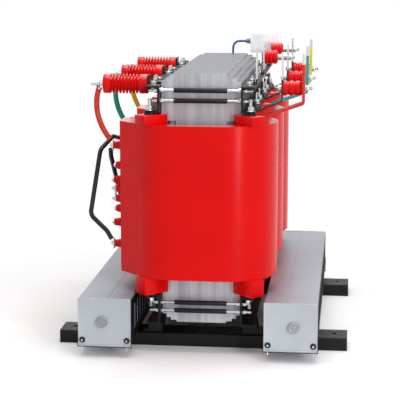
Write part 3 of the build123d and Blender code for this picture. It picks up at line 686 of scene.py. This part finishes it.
def makeLowVoltageSide():
    s = lowVoltage
    everyLeg, neutralLegs = tuple(legs.values()), (legs["b"], legs["c"])
    postRow("lvPost", s["postLength"], s["postStart"], s["z"], everyLeg, "lv_insulators")
    postRow("neutralPost", s["neutralLength"], s["neutralStart"], s["neutralZ"], neutralLegs,
            "neutral_insulators")
    boltSet("busbarBolts", [(s["barFace"], y, s["z"]) for y in everyLeg], (1, 0, 0), zincSlot, zinc,
            ["busbar_bolts"], 0.020, 0.010, 0.0125, 0.014)
    boltSet("supportBolts", [(s["supportFace"], y, s["z"]) for y in everyLeg], (-1, 0, 0), zincSlot, zinc, [],
            0.020, 0.010, 0.0125, 0.012)
    boltSet("neutralBolts", [(s["neutralBoltX"], y, s["neutralZ"]) for y in neutralLegs], (1, 0, 0), zincSlot,
            zinc, [], 0.020, 0.010, 0.0125, 0.012)
    boltSet("uprightBolts", [(s["uprightBoltX"], y, s["uprightBoltZ"]) for y in everyLeg], (0, 0, 1), zincSlot,
            zinc, [], 0.018, 0.010, 0.011, 0.010)


makeLowVoltageSide()
print("stage: low-voltage side made")


# ---- temperature controller ----
def makeController():
    low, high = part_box("controller_box")
    lidLow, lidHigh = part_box("controller_lid")
    case = addBlock("controllerCase", low, high, 0.007, 4)
    wall = 0.003
    hollow = addBlock("hollow", (low[0] + wall, low[1] - 0.01, low[2] + wall),
                      (high[0] - wall, high[1] - wall, high[2] - wall))
    cutWith(case, hollow)
    settle(case)
    fitPiece(case, "frame", "white_plastic", finishes["whiteAbs"], "controller_box")
    lid = addBlock("controllerLid", lidLow, lidHigh)
    pickFaces(lid, lambda centre, normal: normal.y < -0.9)
    bpy.ops.mesh.inset(thickness=0.007)
    bpy.ops.transform.translate(value=(0, -0.0015, 0))
    bpy.ops.mesh.inset(thickness=0.010)
    bpy.ops.transform.translate(value=(0, 0.0012, 0))
    deselectAll()
    lid.data.transform(Matrix.Translation((0, 0.0015, 0)))
    applyModifier(lid, "BEVEL", width=0.0012, segments=2, limit_method="ANGLE")
    settle(lid)
    fitPiece(lid, "frame", "white_plastic", finishes["whiteAbs"], "controller_lid")
    screws = []
    for x in (lidLow[0] + 0.010, lidHigh[0] - 0.010):
        for z in (lidLow[2] + 0.010, lidHigh[2] - 0.010):
            screws.append(turnAlong("lidScrew", [(0, 0.0032), (0.0006, 0.0032), (0.0012, 0.0022)],
                                    (x, lidLow[1] + 0.0012, z), (0, -1, 0), 20))
    fitPiece(joinPieces("lidScrews", screws), "frame", zincSlot, zinc)
    glandLow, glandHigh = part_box("cable_gland")
    root = (low[0], (glandLow[1] + glandHigh[1]) / 2, 1.066)
    nutRings = [(0, 0.012), (0.001, 0.013), (0.007, 0.013), (0.008, 0.012)]
    bodyRings = [(0.007, 0.0088), (0.010, 0.0095), (0.018, 0.0090), (0.024, 0.0068), (0.026, 0.0056),
                 (0.026, 0.0049), (0.020, 0.0049)]
    gland = [turnAlong("glandNut", nutRings, root, (-1, 0, 0), 8),
             turnAlong("glandBody", bodyRings, root, (-1, 0, 0), 24)]
    fitPiece(joinPieces("cableGland", gland), "frame", "grey_gland", finishes["gland"], "cable_gland")


makeController()
print("stage: controller made")


# ---- fan boxes ----
fan = {"axisX": 0.345, "axisZ": 0.132, "edge": 0.004, "seamFromInner": 0.082, "seamHalfWidth": 0.0008,
       "seamDepth": 0.0011, "slotPitch": 0.062, "slots": 19, "slotLength": 0.052, "slotHeight": 0.090,
       "slats": 8, "slatTurn": 40, "wall": 0.002, "inner": 0.240, "outer": 0.430, "halfLength": 0.640,
       "plateLow": 0.040, "plateHigh": 0.219, "plugZ": 0.064}
fanLow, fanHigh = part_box("fan_bases")[0][2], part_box("fan_covers")[1][2]


def fanCorners(side):
    x = sorted((side * fan["inner"], side * fan["outer"]))
    return Vector((x[0], -fan["halfLength"], fanLow)), Vector((x[1], fan["halfLength"], fanHigh))


def slotBars(name, xLow, xHigh, middleZ):
    bars = []
    for i in range(fan["slots"]):
        y = (i - (fan["slots"] - 1) / 2) * fan["slotPitch"]
        bars.append(addBlock("bar", (xLow, y - fan["slotLength"] / 2, middleZ - fan["slotHeight"] / 2),
                             (xHigh, y + fan["slotLength"] / 2, middleZ + fan["slotHeight"] / 2)))
    return joinPieces(name, bars)


def makeFanBox(side, sideName):
    low, high = fanCorners(side)
    middleZ = (low.z + high.z) / 2
    shell = addBlock("fanShell_" + sideName, low, high)
    pickEdges(shell, lambda a, b: abs(a.y - b.y) > 0.5)
    bpy.ops.mesh.bevel(offset=fan["edge"], segments=3, affect="EDGES")
    deselectAll()
    inner = addBlock("inner", (low.x + fan["wall"], low.y - 0.01, low.z + fan["wall"]),
                     (high.x - fan["wall"], high.y + 0.01, high.z - fan["wall"]))
    cutWith(shell, inner)
    cutWith(shell, slotBars("slots", low.x - 0.01, high.x + 0.01, middleZ))
    innerX = low.x if side > 0 else high.x
    seamX = innerX + side * fan["seamFromInner"]
    groove = addBlock("groove", (seamX - fan["seamHalfWidth"], low.y - 0.01, high.z - fan["seamDepth"]),
                      (seamX + fan["seamHalfWidth"], high.y + 0.01, high.z + 0.01))
    cutWith(shell, groove)
    settle(shell, 30)
    grilles = []
    # black grille panels on both long sides
    for wallX, out, label in ((low.x, -1, "left"), (high.x, 1, "right")):
        xa, xb = sorted((wallX, wallX + out * 0.0012))
        panel = addBlock("grille_" + sideName + "_" + label, (xa, low.y + 0.012, low.z + 0.004),
                         (xb, high.y - 0.012, high.z - 0.007))
        cutWith(panel, slotBars("slots", xa - 0.005, xb + 0.005, middleZ))
        slats = []
        for i in range(fan["slats"]):
            z = middleZ - fan["slotHeight"] / 2 + (i + 0.5) * fan["slotHeight"] / fan["slats"]
            slat = addBlock("slat", (-0.0006, low.y + 0.03, -0.0045), (0.0006, high.y - 0.03, 0.0045))
            slat.data.transform(Matrix.Translation((wallX - out * 0.0065, 0, z))
                                @ Matrix.Rotation(radians(out * fan["slatTurn"]), 4, "Y"))
            slats.append(slat)
        grilles += [panel] + slats
    return shell, grilles


capRings = [(0, 0.021), (0.0015, 0.0215), (0.003, 0.0205), (0.0035, 0.0195), (0.012, 0.0192), (0.0132, 0.0180),
            (0.0136, 0.0150), (0.0130, 0.0140), (0.0126, 0.0080), (0.0130, 0.0070)]
plugRings = [(0, 0.0105), (0.0015, 0.0112), (0.004, 0.0098), (0.0065, 0.0090), (0.0075, 0.0075)]
screwRings = [(0, 0.0030), (0.0008, 0.0030), (0.0016, 0.0020)]


def makeEndPlate(low, high, end):
    face = end * fan["halfLength"]
    near, far = sorted((face, face + end * 0.005))
    plate = addBlock("plate", (low.x - 0.001, near, fan["plateLow"]), (high.x + 0.001, far, fan["plateHigh"]))
    pickFaces(plate, lambda centre, normal: normal.y * end > 0.9)
    bpy.ops.mesh.inset(thickness=0.0035)
    bpy.ops.transform.translate(value=(0, -end * 0.0018, 0))
    deselectAll()
    applyModifier(plate, "BEVEL", width=0.0012, segments=2, limit_method="ANGLE")
    near, far = sorted((face + end * 0.003, face + end * 0.0075))
    lip = addBlock("lip", (low.x + 0.004, near, 0.0435), (high.x - 0.004, far, 0.0475), 0.001)
    return [plate, lip]


def makeEdging(low, high, end):
    # black strip under the plate and up the lower part of both its sides
    face = end * fan["halfLength"]
    near, far = sorted((face + end * 0.0005, face + end * 0.0058))
    strips = [addBlock("edging", (low.x - 0.0035, near, 0.0375), (high.x + 0.0035, far, 0.0405), 0.001)]
    for x in (low.x - 0.0025, high.x + 0.0025):
        strips.append(addBlock("edging", (x - 0.0012, near, 0.039), (x + 0.0012, far, 0.100), 0.0006))
    return strips


def makeFanEnds():
    plates, caps, screws, plugs, plugBolts = [], [], [], [], []
    for side in (-1, 1):
        low, high = fanCorners(side)
        for end in (-1, 1):
            face, out = end * fan["halfLength"], (0, end, 0)
            skin = face + end * 0.0034
            plates += makeEndPlate(low, high, end)
            caps.append(turnAlong("cap", capRings, (side * fan["axisX"], skin, fan["axisZ"]), out, 48))
            screwPlaces = ((low.x + 0.055, 0.205), (low.x + 0.052, 0.098), (low.x + 0.027, 0.085),
                           (high.x - 0.012, 0.196))
            for x, z in screwPlaces:
                screws.append(turnAlong("screw", screwRings, (x, skin, z), out, 16))
            for x in (low.x + 0.014, high.x - 0.014):
                plugs.append(turnAlong("plug", plugRings, (x, skin, fan["plugZ"]), out, 28))
                plugBolts.append(hexBolt("plugBolt", (x, face + end * 0.0105, fan["plugZ"]), out, 0.007, 0.003))
                plugBolts.append(turnAlong("boltTip", threadRings(0, 0.012, 0.003),
                                           (x, face + end * 0.0035, 0.0385), (0, 0, -1), 12))
            plugs += makeEdging(low, high, end)
    fitPiece(settle(joinPieces("motorCaps", caps)), "frame", "impeller_aluminium", finishes["impeller"])
    fitPiece(settle(joinPieces("fanEndPlates", plates)), "frame", "aluminium_sheet",
             finishes["aluminiumPlate"], "fan_end_plates")
    fitPiece(settle(joinPieces("cornerPlugs", plugs)), "frame", "black_insulation", finishes["blackRubber"],
             "corner_bolts")
    fitPiece(settle(joinPieces("plateScrews", screws + plugBolts)), "frame", zincSlot, zinc)


hvShell, hvGrilles = makeFanBox(-1, "hv")
lvShell, lvGrilles = makeFanBox(1, "lv")
fitPiece(joinPieces("fanShells", [hvShell, lvShell]), "frame", "aluminium_sheet", finishes["aluminium"],
         "fan_covers", "fan_bases")
fitPiece(settle(joinPieces("fanGrilles", hvGrilles + lvGrilles)), "frame", "black_painted_steel",
         finishes["blackGrille"], "fan_grilles")
makeFanEnds()
print("stage: fan boxes made")

# ---- stage, light and camera ----
studio = {"lens": 124.8, "place": (0.536, -5.406, 1.458), "tilt": 79.67, "turn": 6.28, "floorSize": 6,
          "fadeStart": 0.75, "fadeEnd": 1.35, "ambient": 0.5}

deselectAll()
bpy.ops.mesh.primitive_plane_add(size=studio["floorSize"], location=(0, 0, 0))
floor = bpy.context.object
floor.name = "floor"
# Matt white paper, which fades out away from the object so that the ground behind it stays white.
floorPaint, tree, shader, place = newFinish("palePaperFloor", Roughness=0.9, Specular_IOR_Level=0.1)
shade = spread(tree, noiseAt(tree, place, 400), 0, 1)
tree.links.new(mixColours(tree, shade, hexColour("#FBFBFB"), hexColour("#FFFFFF")), shader.inputs["Base Color"])
away = addNode(tree, "VectorMath", {"operation": "LENGTH"}, {0: place}).outputs["Value"]
fade = spread(tree, away, 0.0, 1.0, studio["fadeStart"], studio["fadeEnd"])
clear = addNode(tree, "BsdfTransparent")
blend = addNode(tree, "MixShader", links={0: fade, 1: shader.outputs[0], 2: clear.outputs[0]})
tree.links.new(blend.outputs[0], tree.nodes["Material Output"].inputs["Surface"])
floor.data.materials.append(floorPaint)

world = bpy.data.worlds.new("studio")
bpy.context.scene.world = world
world.use_nodes = True
tree = world.node_tree
ambient = tree.nodes["Background"]
ambient.inputs["Color"].default_value = (1, 1, 1, 1)
ambient.inputs["Strength"].default_value = studio["ambient"]
backdrop = addNode(tree, "Background", {"Color": (1, 1, 1, 1), "Strength": 1.0})
rays = addNode(tree, "LightPath")
seen = addNode(tree, "Math", {"operation": "MAXIMUM"}, {
    0: rays.outputs["Is Camera Ray"], 1: rays.outputs["Is Glossy Ray"]})
mixed = addNode(tree, "MixShader", links={0: seen.outputs[0], 1: ambient.outputs[0], 2: backdrop.outputs[0]})
tree.links.new(mixed.outputs[0], tree.nodes["World Output"].inputs["Surface"])


def addSoftbox(name, place, aim, size, power):
    deselectAll()
    bpy.ops.object.light_add(type="AREA", location=place)
    lamp = bpy.context.object
    lamp.name = name
    lamp.data.shape = "RECTANGLE"
    lamp.data.size, lamp.data.size_y = size
    lamp.data.energy = power
    lamp.rotation_euler = (Vector(aim) - Vector(place)).to_track_quat("-Z", "Y").to_euler()


addSoftbox("keyLight", (3.2, -3.6, 3.0), (0, 0, 0.5), (2.0, 2.0), 58)
addSoftbox("stripLight", (2.9, -4.9, 1.2), (0, -0.5, 0.6), (0.16, 2.4), 85)
addSoftbox("fillLight", (-3.6, -2.6, 2.2), (0, 0, 0.5), (2.4, 2.4), 6)
addSoftbox("edgeLight", (0.1, -1.15, 3.4), (0.1, -0.6, 0.8), (1.6, 0.2), 20)
addSoftbox("topLight", (0.2, 0.6, 4.2), (0, 0, 0.6), (3.0, 3.0), 85)

deselectAll()
bpy.ops.object.camera_add(location=studio["place"],
                          rotation=(radians(studio["tilt"]), 0, radians(studio["turn"])))
camera = bpy.context.object
camera.data.lens = studio["lens"]
camera.data.sensor_width = 36
bpy.context.scene.camera = camera
bpy.context.scene.view_settings.view_transform = "Standard"
print("stage: studio made")
